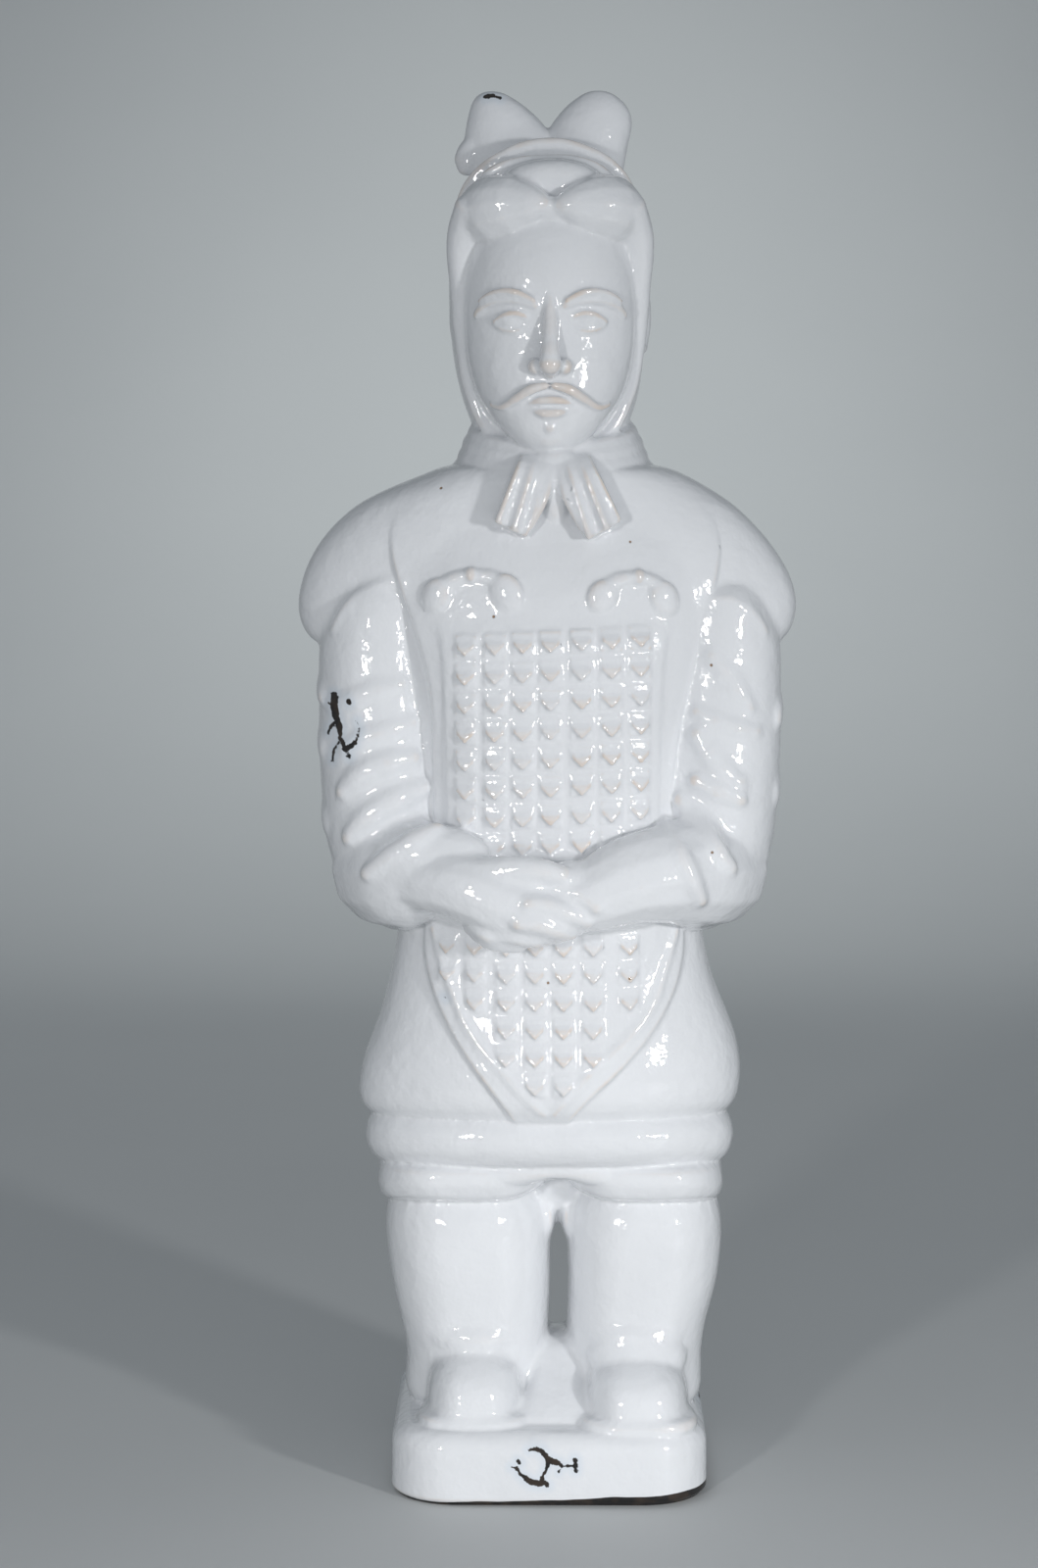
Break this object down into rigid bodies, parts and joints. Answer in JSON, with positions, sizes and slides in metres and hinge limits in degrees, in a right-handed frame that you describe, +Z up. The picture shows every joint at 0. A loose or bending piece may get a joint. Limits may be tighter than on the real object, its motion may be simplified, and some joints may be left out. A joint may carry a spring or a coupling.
{
  "type": "ceramic soldier figurine",
  "caption": "Standing soldier in lamellar armour with hands clasped at the waist, cast in one piece with a low rounded-square base that it stands on.",
  "frame": {"origin": "centre of the base's flat underside", "axes": "+Z up, from the base to the hair loops; the soldier faces -Y"},
  "size_m": [0.1449, 0.101, 0.405],
  "materials": {
    "white_glaze": "thick opaque white gloss glaze, bare brown clay on the foot rim and in a few chips"
  },
  "bodies": {
    "root": {"soldier_figurine": "white_glaze"}
  },
  "joints": []
}
